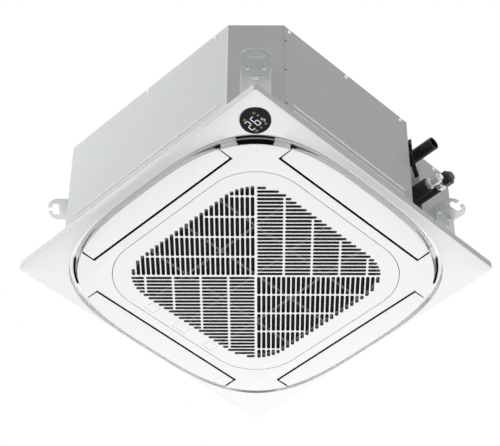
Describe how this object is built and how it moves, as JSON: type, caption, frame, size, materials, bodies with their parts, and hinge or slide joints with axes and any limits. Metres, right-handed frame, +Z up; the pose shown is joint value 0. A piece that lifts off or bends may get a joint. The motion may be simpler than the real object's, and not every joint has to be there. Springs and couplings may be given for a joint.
{
  "type": "ceiling cassette air conditioner",
  "caption": "Compact square ceiling cassette air conditioner with a four-way outlet panel, hinged intake grille, swinging louvers, corner hanger hooks, fan, coil and drain.",
  "frame": {"origin": "middle of the ceiling plane, where the back of the panel's rim lies", "axes": "+Z up into the ceiling; the display corner is at +X -Y; the pipes leave along +X at the +X +Y corner"},
  "size_m": [0.6456, 0.62, 0.293],
  "materials": {
    "galvanised_sheet": "galvanised steel sheet, satin grey",
    "hanger_zinc": "zinc-plated steel, satin",
    "bright_screws": "bright zinc-plated steel",
    "grey_foam": "closed-cell foam, matt",
    "motor_grey": "grey painted steel, satin",
    "fan_plastic": "moulded plastic, matt",
    "white_foam": "moulded polystyrene foam, matt",
    "inner_plastic": "moulded plastic, satin",
    "coil_aluminium": "thin aluminium fins, satin",
    "copper": "bare copper tube, satin",
    "black_plastic": "black moulded plastic, satin",
    "black_sleeve": "black foam-rubber sleeve, matt",
    "nut_nickel": "plated brass, bright",
    "circuit_green": "green circuit board",
    "terminal_cream": "cream moulded plastic",
    "panel_white": "white moulded plastic, satin gloss",
    "display_black": "black acrylic window, gloss",
    "louver_motor_grey": "grey moulded plastic and plated steel",
    "filter_grey": "grey moulded plastic, matt",
    "filter_net": "fine black nylon net"
  },
  "bodies": {
    "casing": {"cabinet_shell": "galvanised_sheet", "top_plate": "galvanised_sheet", "foam_liner": "grey_foam", "casing_screws": "bright_screws", "hanger_bracket_1": "hanger_zinc", "hanger_bracket_2": "hanger_zinc", "hanger_bracket_3": "hanger_zinc", "hanger_bracket_4": "hanger_zinc", "hanger_screws": "bright_screws", "fan_motor": "motor_grey", "motor_mounts": "motor_grey", "bell_mouth": "inner_plastic", "coil_fins": "coil_aluminium", "coil_end_plates": "coil_aluminium", "coil_bends": "copper", "coil_baffle": "galvanised_sheet", "drain_pan": "white_foam", "drain_pump": "inner_plastic", "drain_hose": "inner_plastic", "drain_pipe": "black_plastic", "drain_support": "black_plastic", "gas_pipe": "copper", "liquid_pipe": "copper", "pipe_sleeves": "black_sleeve", "gas_nut": "nut_nickel", "gas_cap": "black_plastic", "liquid_nut": "nut_nickel", "liquid_cap": "nut_nickel", "control_box": "galvanised_sheet", "control_cover": "galvanised_sheet", "circuit_board": "circuit_green", "terminal_block": "terminal_cream", "panel_frame": "panel_white", "duct_frame": "inner_plastic", "duct_seals": "grey_foam", "panel_screws": "bright_screws", "display_window": "display_black", "display_board": "circuit_green", "louver_motor_1": "louver_motor_grey", "louver_motor_2": "louver_motor_grey", "louver_motor_3": "louver_motor_grey", "louver_motor_4": "louver_motor_grey"},
    "fan": {"fan_wheel": "fan_plastic", "motor_shaft": "bright_screws", "fan_nut": "bright_screws"},
    "louver_a": {"louver_1": "panel_white"},
    "louver_b": {"louver_2": "panel_white"},
    "louver_c": {"louver_3": "panel_white"},
    "louver_d": {"louver_4": "panel_white"},
    "grille": {"intake_grille": "panel_white", "grille_arms": "panel_white", "filter_frame": "filter_grey", "filter_mesh": "filter_net", "screw_cover": "panel_white"},
    "latch_a": {"latch_1": "panel_white"},
    "latch_b": {"latch_2": "panel_white"}
  },
  "joints": [
    {"name": "fan_spin", "type": "hinge", "parent": "casing", "child": "fan", "pos_m": [0, 0, 0.12], "axis": [0, 0, 1], "continuous": true},
    {"name": "louver_a_swing", "type": "hinge", "parent": "casing", "child": "louver_a", "pos_m": [0.248, 0, -0.025], "axis": [0, 1, 0], "range_deg": [0, 65]},
    {"name": "louver_b_swing", "type": "hinge", "parent": "casing", "child": "louver_b", "pos_m": [0, 0.248, -0.025], "axis": [-1, 0, 0], "range_deg": [0, 65]},
    {"name": "louver_c_swing", "type": "hinge", "parent": "casing", "child": "louver_c", "pos_m": [-0.248, 0, -0.025], "axis": [0, -1, 0], "range_deg": [0, 65]},
    {"name": "louver_d_swing", "type": "hinge", "parent": "casing", "child": "louver_d", "pos_m": [0, -0.248, -0.025], "axis": [1, 0, 0], "range_deg": [0, 65]},
    {"name": "grille_swing", "type": "hinge", "parent": "casing", "child": "grille", "pos_m": [0.2247, 0, -0.0285], "axis": [0, -1, 0], "range_deg": [0, 88]},
    {"name": "latch_a_press", "type": "slide", "parent": "grille", "child": "latch_a", "axis": [0, 0, 1], "range_m": [0, 0.0025], "stiffness_N_per_m": 600, "springref_m": -0.001},
    {"name": "latch_b_press", "type": "slide", "parent": "grille", "child": "latch_b", "axis": [0, 0, 1], "range_m": [0, 0.0025], "stiffness_N_per_m": 600, "springref_m": -0.001}
  ]
}
